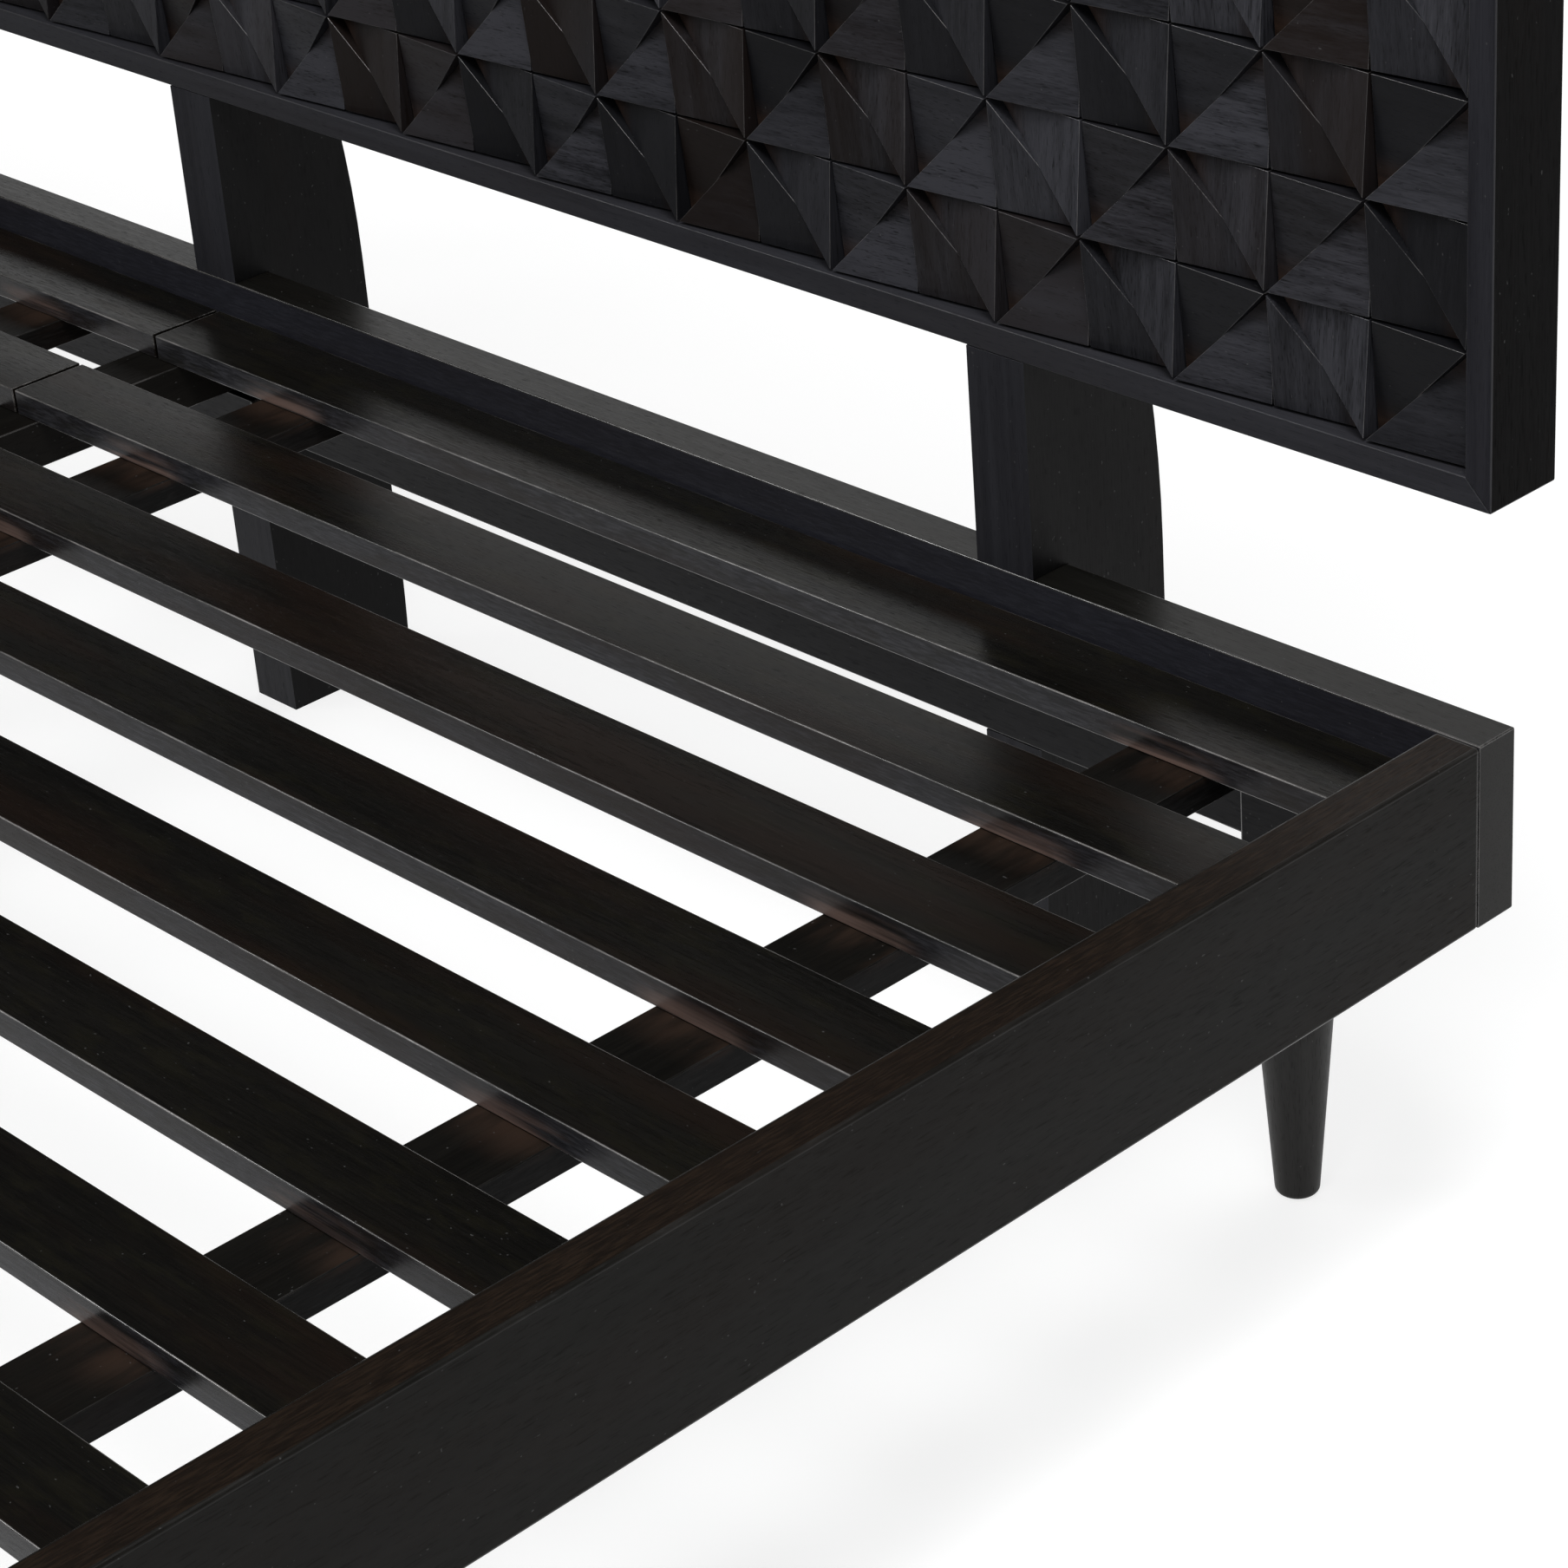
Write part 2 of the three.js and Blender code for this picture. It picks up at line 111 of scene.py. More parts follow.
class Shader:
    """Builds one material's node tree with short calls."""

    def __init__(self, name):
        self.material = bpy.data.materials.new(name)
        self.material.use_nodes = True
        self.tree = self.material.node_tree
        self.bsdf = self.tree.nodes["Principled BSDF"]

    def add(self, kind, **settings):
        made = self.tree.nodes.new(kind)
        for key, value in settings.items():
            setattr(made, key, value)
        return made

    def feed(self, socket, value):
        if isinstance(value, bpy.types.NodeSocket):
            self.tree.links.new(value, socket)
        else:
            socket.default_value = value

    def math(self, operation, a, b=0.0, clamp=False):
        made = self.add("ShaderNodeMath", operation=operation, use_clamp=clamp)
        self.feed(made.inputs[0], a)
        self.feed(made.inputs[1], b)
        return made.outputs[0]

    def times(self, a, b):
        return self.math("MULTIPLY", a, b)

    def plus(self, a, b):
        return self.math("ADD", a, b)

    def vector(self, operation, a, b):
        made = self.add("ShaderNodeVectorMath", operation=operation)
        self.feed(made.inputs[0], a)
        self.feed(made.inputs[1], b)
        return made.outputs[0]

    def noise(self, vector, scale, detail=3.0, roughness=0.55):
        """Noise whose features measure 1/scale metres along each grain direction."""
        made = self.add("ShaderNodeTexNoise")
        self.feed(made.inputs["Vector"], self.vector("MULTIPLY", vector, scale))
        made.inputs["Scale"].default_value = 1.0
        made.inputs["Detail"].default_value = detail
        made.inputs["Roughness"].default_value = roughness
        return made.outputs["Fac"]

    def ramp(self, value, low, high, to_low=0.0, to_high=1.0):
        made = self.add("ShaderNodeMapRange", interpolation_type="SMOOTHSTEP")
        for socket, item in zip(made.inputs[:5], (value, low, high, to_low, to_high)):
            self.feed(socket, item)
        return made.outputs[0]

    def mix(self, factor, a, b):
        made = self.add("ShaderNodeMix", data_type="RGBA")
        self.feed(made.inputs[0], factor)
        self.feed(made.inputs[6], a)
        self.feed(made.inputs[7], b)
        return made.outputs[2]

    def split(self, vector):
        made = self.add("ShaderNodeSeparateXYZ")
        self.feed(made.inputs[0], vector)
        return made.outputs

    def join(self, x, y, z):
        made = self.add("ShaderNodeCombineXYZ")
        for socket, item in zip(made.inputs, (x, y, z)):
            self.feed(socket, item)
        return made.outputs[0]

    def place(self):
        """Object coordinates, which are the frame's own coordinates in every CAD node."""
        return self.split(self.add("ShaderNodeTexCoord").outputs["Object"])

    def facing(self, component):
        return self.split(self.add("ShaderNodeTexCoord").outputs["Normal"])[component]

    def piece_chance(self):
        """A number from 0 to 1 that differs from piece to piece."""
        return self.add("ShaderNodeObjectInfo").outputs["Random"]

    def attribute(self, name):
        return self.add("ShaderNodeAttribute", attribute_name=name).outputs

    def bump(self, height, strength, distance, normal=None):
        made = self.add("ShaderNodeBump")
        made.inputs["Strength"].default_value = strength
        made.inputs["Distance"].default_value = distance
        self.feed(made.inputs["Height"], height)
        if normal is not None:
            self.feed(made.inputs["Normal"], normal)
        return made.outputs[0]


def grain_space(shader, axis):
    """Object coordinates turned so that x runs along the grain, with a shift of its own for each piece."""
    place = shader.add("ShaderNodeTexCoord").outputs["Object"]
    chance = shader.piece_chance()
    shift = shader.vector("MULTIPLY", shader.join(chance, chance, chance), PIECE_GRAIN_SHIFT)
    x, y, z = shader.split(shader.vector("ADD", place, shift))
    return {"X": shader.join(x, y, z), "Y": shader.join(y, z, x), "Z": shader.join(z, x, y)}[axis]


# ---------------------------------------------------------------- materials

# Stain colours, linear: (dark share, light share) of each wood, then the tones of single faces and marks;
# some face tones and marks are painted light or painted shade, as noted.
BLUE = ((0.0085, 0.0087, 0.0110), (0.0270, 0.0274, 0.0325))
TILE = ((0.0040, 0.0041, 0.0050), (0.0320, 0.0324, 0.0385))
GREY = ((0.0100, 0.0097, 0.0092), (0.0260, 0.0255, 0.0245))
OLIVE = ((0.0036, 0.0035, 0.0030), (0.0082, 0.0080, 0.0070))
WARM = ((0.0014, 0.0013, 0.0011), (0.0056, 0.0051, 0.0042))
# Painted light: a lighter blue tone for the front and inner faces of the end rails than for their tops.
RAIL_FRONT_PAINTED_LIGHT = (0.0215, 0.0220, 0.0285)
# Painted shade for the lower inner face of the end rails, under the decks.
RAIL_SHADE = (0.0030, 0.0031, 0.0036)
RAIL_TOP = (0.0140, 0.0086, 0.0052)
BATTEN_SIDE = (0.0060, 0.0058, 0.0056)
# Painted light: the slats' front and back faces, much paler than their tops, over their own speckle.
SLAT_SIDE_PAINTED_LIGHT = (0.0300, 0.0300, 0.0340)
# Painted shade: the posts' side faces, darker than their fronts.
POST_SIDE_PAINTED_SHADE = (0.0040, 0.0040, 0.0042)
# Painted shade: the stiles' side faces, darker than their fronts.
STILE_SIDE_PAINTED_SHADE = (0.0015, 0.0014, 0.0015)
# Pale wear and painted highlight on the rounded edges.
EDGE_PALE_WEAR_AND_HIGHLIGHT = (0.1700, 0.1600, 0.1550)
OLIVE_BROWN = (0.0078, 0.0070, 0.0036)
RED_BROWN = (0.0078, 0.0044, 0.0029)
RUB_BROWN = (0.0480, 0.0270, 0.0180)
# Rubbed-through stain on the slat fronts, made pale as painted light where the battens shade them.
SLAT_RUB_AND_PAINTED_LIGHT = (0.2000, 0.1340, 0.1120)
SPECK_GREY = (0.0700, 0.0700, 0.0700)

# Features of the wood, in repeats per metre: along the grain, then in the two directions across it.
CLOUD = (1.6, 9.0, 9.0)
WAVE = (3.0, 30.0, 30.0)
PATCH = (4.1, 26.0, 26.0)
STREAK = (5.0, 170.0, 170.0)
RAGGED = (14.0, 55.0, 55.0)
WORN_AND_LIT = (14.0, 90.0, 90.0)
MOTTLE = (22.0, 75.0, 75.0)
FIBRE = (30.0, 900.0, 900.0)
SPECKLE = (70.0, 800.0, 800.0)
PORE = (120.0, 1700.0, 1700.0)
SPECK = (420.0, 620.0, 620.0)

# Noise values over which a feature fades in.
FIBRE_FADE = (0.28, 0.74)
STREAK_FADE = (0.32, 0.70)
CLOUD_FADE = (0.30, 0.70)
PORE_FADE = (0.64, 0.74)
SPECKLE_FADE = (0.38, 0.70)
MOTTLE_FADE = (0.48, 0.66)
WORN_AND_LIT_FADE = (0.40, 0.72)
SPECK_FADE = (0.845, 0.870)
WARM_FADE = (0.50, 0.80)
WARM_FIBRE_FADE = (0.30, 0.60)
TILE_WARM_FADE = (0.55, 1.00)
TILE_PATCH_FADE = (0.25, 0.60)
FACING_FADE = (0.5, 0.9)
GLOSS_FIBRE_FADE = (0.30, 0.70)
GLOSS_CLOUD_FADE = (0.35, 0.75)

# How far each feature lightens or darkens the stain.
FIBRE_SHARE = 0.30
STREAK_SHARE = 0.30
CLOUD_SHARE = 0.40
PORE_SHARE = 0.30
SPECK_SHARE = 0.50
TILE_TONE_RANGE = (-0.3, 1.4)
TILE_TONE_GAIN = (0.1, 1.9)
WARM_BETWEEN_FIBRES = 0.55
WARM_BETWEEN_PATCHES = 0.25
PIECE_WARMTH = 0.16  # how much redder the reddest piece may be than the blackest

FIBRE_ROUGHNESS = 0.05
CLOUD_ROUGHNESS = (-0.03, 0.07)
PORE_ROUGHNESS = 0.15
RUB_AND_SHADING_ROUGHNESS = 0.20
WAVE_BUMP = (0.15, 0.0006)
FIBRE_BUMP = (0.16, 0.0002)
PORE_BUMP = (-0.25, 0.0002)

EDGE_GLOSS = 0.28
EDGE_SPECULAR = 0.8
# Share of pale wear and painted highlight on the rounded edges.
EDGE_WEAR_AND_HIGHLIGHT = 0.35
DULL_EDGE = {"edge_specular": 0.25, "edge_wear_and_highlight": 0.06}


def stained_wood(name, axis, tones, warmth=0.3, gloss=0.42, specular=0.14, wear_and_highlight=0.0, coordinates=None,
                 face_tone=None, rub=None, rub_colour=RUB_BROWN, fine=1.0, mottle=0.0):
    """Ebony-stained hardwood: cloudy patches, growth figure, fibres and pores that run along the grain.

    face_tone gives the faces along one direction (0, 1 or 2 for x, y or z) a tone and contrast of their own;
    on the end rails and slats that tone is painted light, on the posts and stiles painted shade.
    The masking function takes the shader, the grain coordinates and the streaks, and masks where its colour
    shows: rubbed-through stain on the battens and in the tile hollows, painted shade on the end rails, and
    rubbed-through stain with painted light on the slats.
    """
    shader = Shader(name)
    dark, light = tones
    grain = coordinates(shader) if coordinates else grain_space(shader, axis)
    cloud = shader.noise(grain, CLOUD, detail=2.0)
    patch = shader.noise(grain, PATCH)
    streak = shader.noise(grain, STREAK)
    fibre = shader.noise(grain, FIBRE, roughness=0.7)
    pores = shader.ramp(shader.noise(grain, PORE, detail=0.0), *PORE_FADE)

    light_share = shader.times(shader.ramp(fibre, *FIBRE_FADE), FIBRE_SHARE * fine)
    light_share = shader.plus(light_share, shader.times(shader.ramp(streak, *STREAK_FADE), STREAK_SHARE))
    light_share = shader.plus(light_share, shader.times(shader.ramp(cloud, *CLOUD_FADE), CLOUD_SHARE))
    light_share = shader.math("SUBTRACT", light_share, shader.times(pores, PORE_SHARE * fine), clamp=True)
    if coordinates:
        # This tone carries the painted light and shade of each tile facet.
        tone = shader.attribute("tile_tone_and_shading")["Fac"]
        gain = shader.ramp(tone, *TILE_TONE_RANGE, *TILE_TONE_GAIN)
        light_share = shader.math("MULTIPLY", light_share, gain, clamp=True)
    colour = shader.mix(light_share, (*dark, 1), (*light, 1))
    if face_tone:
        component, tone_there, contrast = face_tone
        there = shader.ramp(shader.math("ABSOLUTE", shader.facing(component)), *FACING_FADE)
        speckle = shader.ramp(shader.noise(grain, SPECKLE, roughness=0.7), *SPECKLE_FADE)
        there_dark = (*((1.0 - contrast) * part for part in tone_there), 1)
        colour = shader.mix(there, colour, shader.mix(speckle, there_dark, (*tone_there, 1)))
    if mottle:
        spots = shader.noise(grain, MOTTLE, detail=4.0, roughness=0.65)
        colour = shader.mix(shader.ramp(spots, *MOTTLE_FADE, 0.0, mottle), colour, (*OLIVE_BROWN, 1))
    if coordinates:
        warm_tile = shader.ramp(shader.attribute("tile_warmth")["Fac"], *TILE_WARM_FADE, 0.0, warmth)
        warm_mask = shader.times(warm_tile, shader.ramp(patch, *TILE_PATCH_FADE, WARM_BETWEEN_PATCHES, 1.0))
    else:
        own_patch = shader.plus(patch, shader.times(shader.piece_chance(), PIECE_WARMTH))
        warm_mask = shader.times(shader.ramp(own_patch, *WARM_FADE, 0.0, warmth),
                                 shader.ramp(fibre, *WARM_FIBRE_FADE, WARM_BETWEEN_FIBRES, 1.0))
    colour = shader.mix(warm_mask, colour, (*RED_BROWN, 1))
    # Pale wear and painted highlight on the rounded edges.
    if wear_and_highlight:
        worn_and_lit = shader.ramp(shader.noise(grain, WORN_AND_LIT, detail=4.0, roughness=0.7), *WORN_AND_LIT_FADE)
        colour = shader.mix(shader.times(worn_and_lit, wear_and_highlight), colour, (*EDGE_PALE_WEAR_AND_HIGHLIGHT, 1))
    if rub:
        rub_and_shading_mask = rub(shader, grain, streak)
        colour = shader.mix(rub_and_shading_mask, colour, (*rub_colour, 1))
    specks = shader.noise(grain, SPECK, detail=0.0)
    colour = shader.mix(shader.ramp(specks, *SPECK_FADE, 0.0, SPECK_SHARE), colour, (*SPECK_GREY, 1))
    shader.feed(shader.bsdf.inputs["Base Color"], colour)

    rough = shader.ramp(fibre, *GLOSS_FIBRE_FADE, gloss - FIBRE_ROUGHNESS, gloss + FIBRE_ROUGHNESS)
    rough = shader.plus(rough, shader.times(pores, PORE_ROUGHNESS))
    rough = shader.plus(rough, shader.ramp(cloud, *GLOSS_CLOUD_FADE, *CLOUD_ROUGHNESS))
    if rub:
        rough = shader.plus(rough, shader.times(rub_and_shading_mask, RUB_AND_SHADING_ROUGHNESS))
    shader.feed(shader.bsdf.inputs["Roughness"], rough)
    shader.bsdf.inputs["Specular IOR Level"].default_value = specular

    wavy = shader.bump(shader.noise(grain, WAVE, detail=1.0), *WAVE_BUMP)
    fibres = shader.bump(fibre, *FIBRE_BUMP, wavy)
    shader.feed(shader.bsdf.inputs["Normal"], shader.bump(pores, *PORE_BUMP, fibres))
    return shader.material


# Where each rub, painted shade and painted light fades in, in metres.
BATTEN_RUB_AND_LIGHT_REACH = (0.046, 0.010)  # from a batten's middle
SLAT_RUB_DEPTH = (0.001, 0.002)  # down from a slat's top, up from its underside
BATTEN_TOP_DEPTH = (0.006, 0.001)  # down from a batten's top
SLAT_TRACE = (0.030, 0.002)  # ahead of a slat's front
RAIL_SHADE_DEPTH = (0.012, 0.032)  # down from a slat's top
INWARD_FADE = (-0.4, -0.8)  # how squarely a face looks at the bed's middle

# Noise values that give each rub its ragged outline, and how strong each rub, painted shade and painted
# light is.
BATTEN_RUB_AND_LIGHT_FADE = (0.35, 0.62)
SLAT_TRACE_FADE = (0.30, 0.65)
HOLLOW_STREAK_FADE = (0.25, 0.65)
HOLLOW_FADE = (0.62, 1.0)
HOLLOW_LEAST_STREAK = 0.35
BATTEN_RUB_AND_LIGHT_STRENGTH = 0.75
SLAT_TRACE_STRENGTH = 0.35
RAIL_SHADE_STRENGTH = 0.90
HOLLOW_STRENGTH = 0.75


def batten_rub_and_painted_light(shader, grain, streak):
    """Stain rubbed through on a slat's lower front, where it crosses a batten, made pale enough to paint
    light into the batten's shade.
    """
    x, _, z = shader.place()
    side = shader.math("ABSOLUTE", x)
    bands = []
    for batten in ("batten_right_outer", "batten_right_inner"):
        low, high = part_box(batten)
        away = shader.math("ABSOLUTE", shader.math("SUBTRACT", side, (low.x + high.x) / 2))
        bands.append(shader.ramp(away, *BATTEN_RUB_AND_LIGHT_REACH))
    near = shader.math("MAXIMUM", *bands)
    slat_low, slat_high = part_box("slat_right_01")
    low_half = shader.ramp(z, slat_high.z - SLAT_RUB_DEPTH[0], slat_low.z + SLAT_RUB_DEPTH[1])
    ragged = shader.ramp(streak, *BATTEN_RUB_AND_LIGHT_FADE)
    return shader.times(shader.times(shader.times(near, low_half), ragged), BATTEN_RUB_AND_LIGHT_STRENGTH)


def rail_shade(shader, grain, streak):
    """Painted shade on the lower inner face of an end rail, under the decks, where the slats shade it."""
    _, y, z = shader.place()
    inward = shader.ramp(shader.times(shader.facing(1), y), *INWARD_FADE)
    deck_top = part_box("slat_right_01")[1].z
    deep = shader.ramp(z, deck_top - RAIL_SHADE_DEPTH[0], deck_top - RAIL_SHADE_DEPTH[1])
    return shader.times(shader.times(inward, deep), RAIL_SHADE_STRENGTH)


def slat_rub(shader, grain, streak):
    """Stain rubbed through on a batten's top, in front of each slat."""
    _, y, z = shader.place()
    first_low, first_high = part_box("slat_right_01")
    pitch = first_high.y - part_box("slat_right_02")[1].y
    slat = first_high.y - first_low.y
    steps = shader.math("DIVIDE", shader.math("SUBTRACT", first_high.y, y), pitch)
    along = shader.times(shader.math("FRACT", steps), pitch)
    before = shader.ramp(along, slat + SLAT_TRACE[0], slat + SLAT_TRACE[1])
    batten_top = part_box("batten_right_outer")[1].z
    top = shader.ramp(z, batten_top - BATTEN_TOP_DEPTH[0], batten_top - BATTEN_TOP_DEPTH[1])
    ragged = shader.ramp(shader.noise(grain, RAGGED), *SLAT_TRACE_FADE)
    return shader.times(shader.times(shader.times(before, top), ragged), SLAT_TRACE_STRENGTH)


def tile_grain(shader):
    return shader.attribute("grain_coords")["Vector"]


def hollow_rub(shader, grain, streak):
    """Raw, dusty wood left in the low corner of each facet."""
    low = shader.attribute("hollow")["Fac"]
    ragged = shader.ramp(streak, *HOLLOW_STREAK_FADE, HOLLOW_LEAST_STREAK, 1.0)
    return shader.times(shader.ramp(low, *HOLLOW_FADE, 0.0, HOLLOW_STRENGTH), ragged)


def wood_pair(name, axis, tones, warmth=0.3, gloss=0.42, specular=0.14, face_tone=None, rub=None,
              edge_specular=EDGE_SPECULAR, edge_wear_and_highlight=EDGE_WEAR_AND_HIGHLIGHT, **more):
    """A face material, and a glossier one for the rounded edges, with pale wear and painted highlight."""
    faces = stained_wood(f"{name}_wood", axis, tones, warmth, gloss, specular, face_tone=face_tone, rub=rub,
                         **more)
    edges = stained_wood(f"{name}_edge", axis, tones, warmth, EDGE_GLOSS, edge_specular, wear_and_highlight=edge_wear_and_highlight,
                         **more)
    return faces, edges


# End rails: the front and inner faces carry painted light, and the lower inner face painted shade.
END_RAIL = wood_pair("end_rail", "X", OLIVE, 0.2, 0.34, specular=0.12, face_tone=(1, RAIL_FRONT_PAINTED_LIGHT, 0.35),
                     rub=rail_shade, rub_colour=RAIL_SHADE)
SIDE_RAIL = wood_pair("side_rail", "Y", OLIVE, 0.3, 0.50, specular=0.08, face_tone=(2, RAIL_TOP, 0.7),
                      edge_specular=0.15, edge_wear_and_highlight=0.06, fine=0.5)
# Posts: the side faces carry painted shade.
POST = wood_pair("post", "Z", BLUE, 0.2, 0.48, specular=0.08, face_tone=(0, POST_SIDE_PAINTED_SHADE, 0.3), fine=0.6)
BOARD_RAIL = wood_pair("board_rail", "X", BLUE, 0.2, 0.44, **DULL_EDGE)
# Stiles: the side faces carry painted shade.
BOARD_STILE = wood_pair("board_stile", "Z", BLUE, 0.2, 0.50, specular=0.03, face_tone=(0, STILE_SIDE_PAINTED_SHADE, 0.3),
                        fine=0.6, **DULL_EDGE)
LEG = wood_pair("leg", "Z", GREY, 0.3, 0.44)
# Slats: the front and back faces carry painted light, and so does the rub where a slat crosses a batten.
SLAT = wood_pair("slat", "X", WARM, 0.85, 0.27, specular=0.105, fine=1.5, mottle=0.4,
                 face_tone=(1, SLAT_SIDE_PAINTED_LIGHT, 0.65), edge_wear_and_highlight=0.75, rub=batten_rub_and_painted_light, rub_colour=SLAT_RUB_AND_PAINTED_LIGHT)
BATTEN = wood_pair("batten", "Y", WARM, 0.45, 0.46, specular=0.07, face_tone=(0, BATTEN_SIDE, 0.85),
                   rub=slat_rub, edge_specular=0.25, edge_wear_and_highlight=0.08)
BEAM = wood_pair("beam", "Y", WARM, 0.1, 0.55, specular=0.06)
BACK_BOARD = wood_pair("back_board", "X", OLIVE, 0.3, 0.55)
CENTRE_LEG = wood_pair("centre_leg", "Z", OLIVE, 0.3, 0.55)
CARVED = wood_pair("carved", "X", TILE, 0.8, 0.40, coordinates=tile_grain, rub=hollow_rub)

# ---------------------------------------------------------------- CAD nodes that stay


def clean_up_group():
    """A modifier that welds a CAD mesh's split corners and shades it smooth, ready for a bevel."""
    group = bpy.data.node_groups.new("weld_and_smooth", "GeometryNodeTree")
    for direction in ("INPUT", "OUTPUT"):
        group.interface.new_socket("Geometry", in_out=direction, socket_type="NodeSocketGeometry")
    start = group.nodes.new("NodeGroupInput")
    end = group.nodes.new("NodeGroupOutput")
    weld = group.nodes.new("GeometryNodeMergeByDistance")
    weld.inputs["Distance"].default_value = WELD_DISTANCE
    forget = group.nodes.new("GeometryNodeRemoveAttribute")
    forget.inputs["Name"].default_value = "custom_normal"
    smooth = group.nodes.new("GeometryNodeSetShadeSmooth")
    chain = [start, weld, forget, smooth, end]
    for one, other in zip(chain, chain[1:]):
        group.links.new(one.outputs[0], other.inputs[0])
    return group


CLEAN_UP = clean_up_group()


def soften(piece, width, segments=2, welded=True):
    """Rounds a piece's edges and gives the rounded strip its second material."""
    if not welded:
        clean = piece.modifiers.new("weld", "NODES")
        clean.node_group = CLEAN_UP
    bevel = piece.modifiers.new("edges", "BEVEL")
    bevel.width = width
    bevel.segments = segments
    bevel.limit_method = "ANGLE"
    bevel.angle_limit = math.radians(EDGE_ANGLE)
    bevel.material = 1
    flat = piece.modifiers.new("flat_faces", "WEIGHTED_NORMAL")
    flat.weight = 100


def dress(piece, materials):
    piece.data.materials.clear()
    for material in materials:
        piece.data.materials.append(material)


def dress_node(name, materials, width, segments=2):
    node = NODES[name]
    dress(node, materials)
    soften(node, width, segments, welded=False)


for name in ("head_rail", "foot_rail"):
    dress_node(name, END_RAIL, EDGE_RAIL)
for name in ("side_rail_right", "side_rail_left"):
    dress_node(name, SIDE_RAIL, EDGE_SIDE_RAIL, segments=4)
for name in ("head_post_right", "head_post_centre", "head_post_left"):
    dress_node(name, POST, EDGE_RAIL)
for name in ("headboard_bottom_rail", "headboard_top_rail"):
    dress_node(name, BOARD_RAIL, EDGE_BOARD)
for name in ("headboard_stile_right", "headboard_stile_left"):
    dress_node(name, BOARD_STILE, EDGE_BOARD)
dress_node("centre_beam", BEAM, EDGE_SLAT)
dress_node("centre_leg", CENTRE_LEG, EDGE_RAIL)
for name in NODES:
    if name.startswith("slat_"):
        dress_node(name, SLAT, EDGE_SLAT)
    elif name.startswith("batten_"):
        dress_node(name, BATTEN, EDGE_SLAT)

# ---------------------------------------------------------------- pieces that replace CAD nodes


def new_piece(name, mesh_data, materials, body):
    piece = bpy.data.objects.new(name, mesh_data)
    bpy.context.scene.collection.objects.link(piece)
    dress(piece, materials)
    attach(piece, body)
    return piece


def turned_leg(name):
    """A straight taper with a rounded foot and a small chamfer at the top."""
    low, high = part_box(name)
    centre_x = (low.x + high.x) / 2
    centre_y = (low.y + high.y) / 2
    top = high.z
    r = LEG_FOOT_ROUND
    profile = [(LEG_FOOT_RADIUS - r, 0.0)]
    for step in range(1, LEG_FOOT_STEPS + 1):
        angle = math.radians(90 / LEG_FOOT_STEPS * step)
        profile.append((LEG_FOOT_RADIUS - r + r * math.sin(angle), r - r * math.cos(angle)))
    for step in range(1, LEG_TAPER_STEPS + 1):
        share = step / LEG_TAPER_STEPS
        radius = LEG_FOOT_RADIUS + (LEG_TOP_RADIUS - LEG_FOOT_RADIUS) * share
        profile.append((radius, r + (top - r - LEG_TOP_CHAMFER) * share))
    profile.append((LEG_TOP_RADIUS - LEG_TOP_CHAMFER, top))
    points, faces = [], []
    for radius, z in profile:
        for i in range(LEG_SEGMENTS):
            angle = 2 * math.pi * i / LEG_SEGMENTS
            points.append((centre_x + radius * math.cos(angle), centre_y + radius * math.sin(angle), z))
    last_ring = len(profile) - 1
    for ring in range(last_ring):
        for i in range(LEG_SEGMENTS):
            j = (i + 1) % LEG_SEGMENTS
            a, b = ring * LEG_SEGMENTS, (ring + 1) * LEG_SEGMENTS
            faces.append((a + i, a + j, b + j, b + i))
    faces.append(tuple(reversed(range(LEG_SEGMENTS))))
    faces.append(tuple(last_ring * LEG_SEGMENTS + i for i in range(LEG_SEGMENTS)))
    mesh_data = bpy.data.meshes.new(name + "_turned")
    mesh_data.from_pydata(points, [], faces)
    for face in mesh_data.polygons:
        face.use_smooth = len(face.vertices) == 4
    piece = new_piece(name + "_turned", mesh_data, LEG[:1], FRAME_BODY)
    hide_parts(name)


for place in ("head_right", "head_left", "foot_right", "foot_left"):
    turned_leg("turned_leg_" + place)


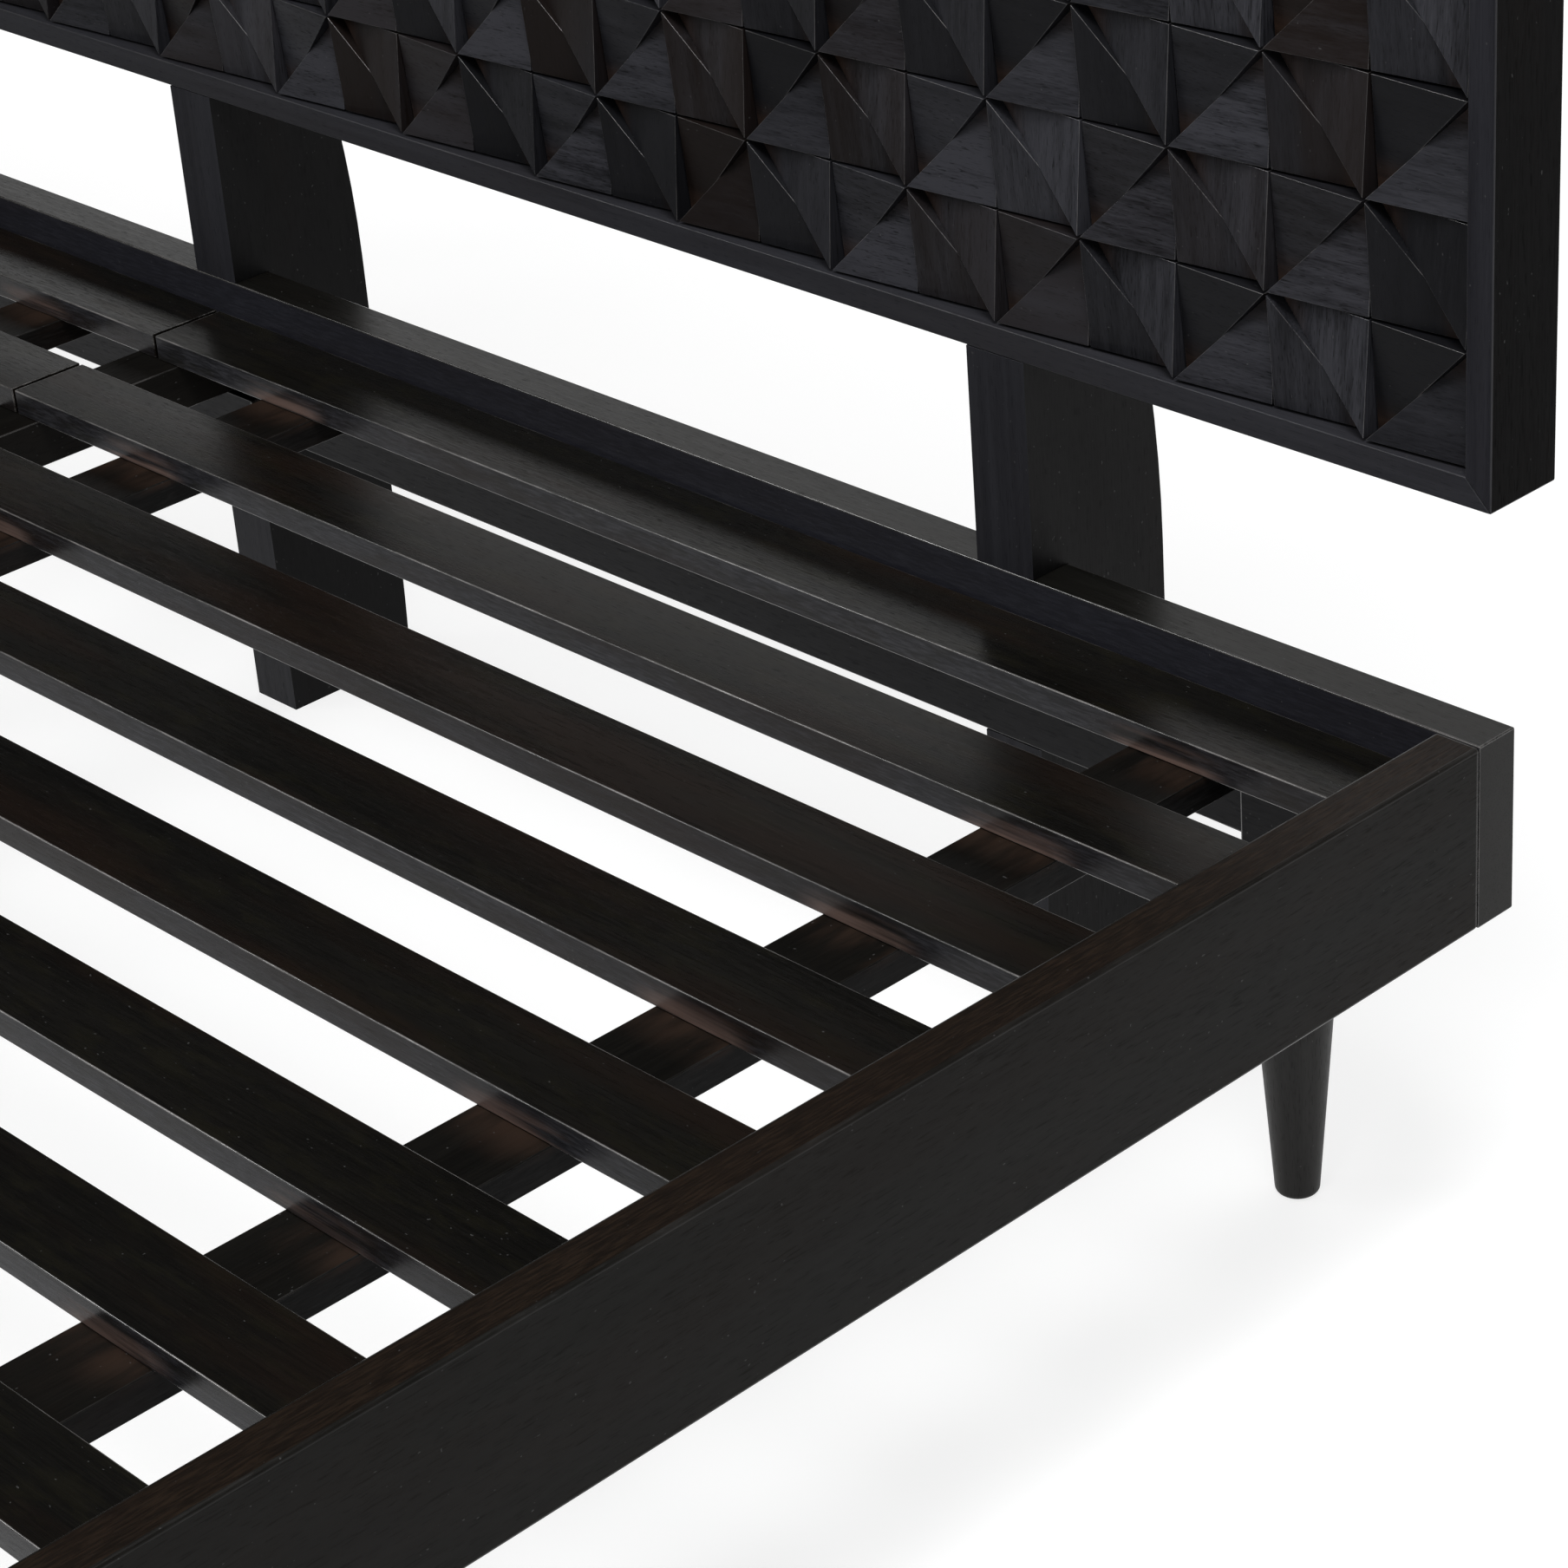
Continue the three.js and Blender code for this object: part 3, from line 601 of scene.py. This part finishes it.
def carved_tiles():
    """Every tile is two wedge-shaped blocks either side of its diagonal, in the pattern of the CAD panel."""
    low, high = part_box("carved_panel")
    tile = (high.x - low.x) / TILE_COLUMNS
    peak_y = low.y
    base_y = peak_y + CARVING_DEPTH + TILE_BASE

    points, faces, grain, tones, warmths, hollows = [], [], [], [], [], []

    def grid(column, row):
        return Vector((high.x - column * tile, 0.0, low.z + row * tile))

    def wedge(level, high_star, low_star, middle, lengthwise, shift, looks, lift):
        corners = [grid(*level), grid(*high_star), grid(*low_star)]
        depths = [CARVING_DEPTH / 2, 0.0, CARVING_DEPTH]
        centre = sum(corners, Vector()) / 3
        start = len(points)
        for corner, depth in zip(corners, depths):
            toward_tile = (middle - corner).normalized()
            placed = corner + Vector((
                math.copysign(TILE_SEAM, toward_tile.x), 0.0, math.copysign(TILE_SEAM, toward_tile.z)))
            placed += (centre - placed).normalized() * FACET_SEAM
            y = peak_y + lift + depth + RNG.uniform(0.0, TILE_JITTER)
            points.append((placed.x, min(y, base_y - LEAST_THICKNESS), placed.z))
        for corner in range(3):
            x, _, z = points[start + corner]
            points.append((x, base_y, z))
        i, j, k = start, start + 1, start + 2
        a, b, c = (Vector(points[n]) for n in (i, j, k))
        if (b - a).cross(c - a).y > 0:
            j, k = k, j
        faces.append((i, j, k))
        faces.append((i + 3, k + 3, j + 3))
        for p, q in ((i, j), (j, k), (k, i)):
            faces.append((p, p + 3, q + 3, q))
        for index in range(start, start + 6):
            x, y, z = points[index]
            along, across = (x, z) if lengthwise else (z, x)
            grain.append((along + shift[0], across + shift[1], y + shift[2]))
            tones.append(looks[0])
            warmths.append(looks[1])
            hollows.append(1.0 if index in (start + 2, start + 5) else 0.0)

    for row in range(TILE_ROWS):
        for column in range(TILE_COLUMNS):
            bottom_right, bottom_left = (column, row), (column + 1, row)
            top_right, top_left = (column, row + 1), (column + 1, row + 1)
            middle = grid(column + 0.5, row + 0.5)
            shift = [RNG.uniform(0, GRAIN_SHIFT) for _ in range(3)]
            tone = RNG.random()
            warmth = RNG.random()
            lift = RNG.uniform(0.0, TILE_JITTER)
            star_top_right = (column + row) % 2 == 0
            if star_top_right:
                halves = ((top_left, top_right, bottom_left), (bottom_right, bottom_left, top_right))
            else:
                halves = ((top_right, bottom_right, top_left), (bottom_left, top_left, bottom_right))
            for half, upper in zip(halves, (True, False)):
                stray = RNG.uniform(-HALF_TILE_TONE, HALF_TILE_TONE)
                # Each half's tone adds painted light and shade, by the way its facet faces the key light, to
                # the tile's random tone.
                tone_with_painted_shading = tone + stray + HALF_PAINTED_SHADING[star_top_right, upper]
                wedge(*half, middle, star_top_right, shift, (tone_with_painted_shading, warmth), lift)

    mesh_data = bpy.data.meshes.new("carved_tiles")
    mesh_data.from_pydata(points, [], faces)
    mesh_data.attributes.new("grain_coords", "FLOAT_VECTOR", "POINT").data.foreach_set(
        "vector", [value for point in grain for value in point])
    for attribute, values in (("tile_tone_and_shading", tones), ("tile_warmth", warmths), ("hollow", hollows)):
        mesh_data.attributes.new(attribute, "FLOAT", "POINT").data.foreach_set("value", values)
    for face in mesh_data.polygons:
        face.use_smooth = True
    piece = new_piece("carved_tiles", mesh_data, CARVED, FRAME_BODY)
    soften(piece, EDGE_TILE)
    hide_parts("carved_panel")
    return base_y


def back_board(front_y):
    """The board that the tiles are glued to, seen from behind inside the headboard's frame."""
    low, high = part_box("carved_panel")
    outline = ((low.x, low.z), (high.x, low.z), (high.x, high.z), (low.x, high.z))
    front = [(x, front_y, z) for x, z in outline]
    back = [(x, high.y, z) for x, z in outline]
    sides = [(i, i + 4, (i + 1) % 4 + 4, (i + 1) % 4) for i in range(4)]
    data = bpy.data.meshes.new("tile_backing_board")
    data.from_pydata(front + back, [], [(0, 1, 2, 3), (7, 6, 5, 4), *sides])
    for face in data.polygons:
        face.use_smooth = True
    piece = new_piece("tile_backing_board", data, BACK_BOARD, FRAME_BODY)
    soften(piece, EDGE_BOARD)


back_board(carved_tiles())

# ---------------------------------------------------------------- stage


def floor():
    shader = Shader("pale_floor")
    coordinates = shader.add("ShaderNodeTexCoord").outputs["Object"]
    colour = shader.mix(shader.noise(coordinates, FLOOR_MOTTLE, detail=2.0), *FLOOR_GREYS)
    shader.feed(shader.bsdf.inputs["Base Color"], colour)
    shader.bsdf.inputs["Emission Color"].default_value = (1, 1, 1, 1)
    shader.bsdf.inputs["Emission Strength"].default_value = FLOOR_GLOW
    shader.bsdf.inputs["Roughness"].default_value = FLOOR_ROUGHNESS
    shader.bsdf.inputs["Specular IOR Level"].default_value = FLOOR_SPECULAR
    data = bpy.data.meshes.new("floor")
    signs = ((-1, -1), (1, -1), (1, 1), (-1, 1))
    data.from_pydata([(x * FLOOR_REACH, y * FLOOR_REACH, 0) for x, y in signs], [], [(0, 1, 2, 3)])
    data.materials.append(shader.material)
    piece = bpy.data.objects.new("floor", data)
    bpy.context.scene.collection.objects.link(piece)


def softbox(name, place, target, size, radiance):
    """A soft rectangular light whose face has the given brightness, whatever its size."""
    data = bpy.data.lights.new(name, "AREA")
    data.shape = "RECTANGLE"
    data.size, data.size_y = size
    data.energy = radiance * math.pi * size[0] * size[1]
    light = bpy.data.objects.new(name, data)
    light.location = place
    light.rotation_euler = (Vector(target) - Vector(place)).to_track_quat("-Z", "Y").to_euler()
    light.visible_camera = False
    bpy.context.scene.collection.objects.link(light)


def studio():
    world = bpy.data.worlds.new("studio")
    world.use_nodes = True
    backdrop = world.node_tree.nodes["Background"]
    backdrop.inputs["Color"].default_value = (1.0, 1.0, 1.0, 1)
    backdrop.inputs["Strength"].default_value = WORLD_BRIGHTNESS
    bpy.context.scene.world = world
    for name, (place, target, size, radiance) in SOFTBOXES.items():
        softbox(name, place, target, size, radiance)
    bpy.context.scene.view_settings.view_transform = "Standard"


def camera():
    azimuth = math.radians(CAMERA_AZIMUTH)
    elevation = math.radians(CAMERA_ELEVATION)
    roll = math.radians(CAMERA_ROLL)
    back = Vector((math.sin(azimuth) * math.cos(elevation), -math.cos(azimuth) * math.cos(elevation),
                   math.sin(elevation)))
    level = Vector((math.cos(azimuth), math.sin(azimuth), 0))
    upright = back.cross(level)
    right = level * math.cos(roll) + upright * math.sin(roll)
    up = upright * math.cos(roll) - level * math.sin(roll)
    side_rail_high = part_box("side_rail_right")[1]
    corner = Vector((side_rail_high.x, side_rail_high.y + SEAM_AT_CORNER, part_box("head_rail")[1].z))
    place = corner + back * CAMERA_DISTANCE - right * CORNER_RIGHT_OF_AXIS - up * CORNER_ABOVE_AXIS
    data = bpy.data.cameras.new("camera")
    data.sensor_width = CAMERA_SENSOR
    data.lens = CAMERA_LENS
    data.clip_end = CAMERA_REACH
    view = bpy.data.objects.new("camera", data)
    view.matrix_world = Matrix((
        (right.x, up.x, back.x, place.x),
        (right.y, up.y, back.y, place.y),
        (right.z, up.z, back.z, place.z),
        (0, 0, 0, 1),
    ))
    bpy.context.scene.collection.objects.link(view)
    bpy.context.scene.camera = view


floor()
studio()
camera()
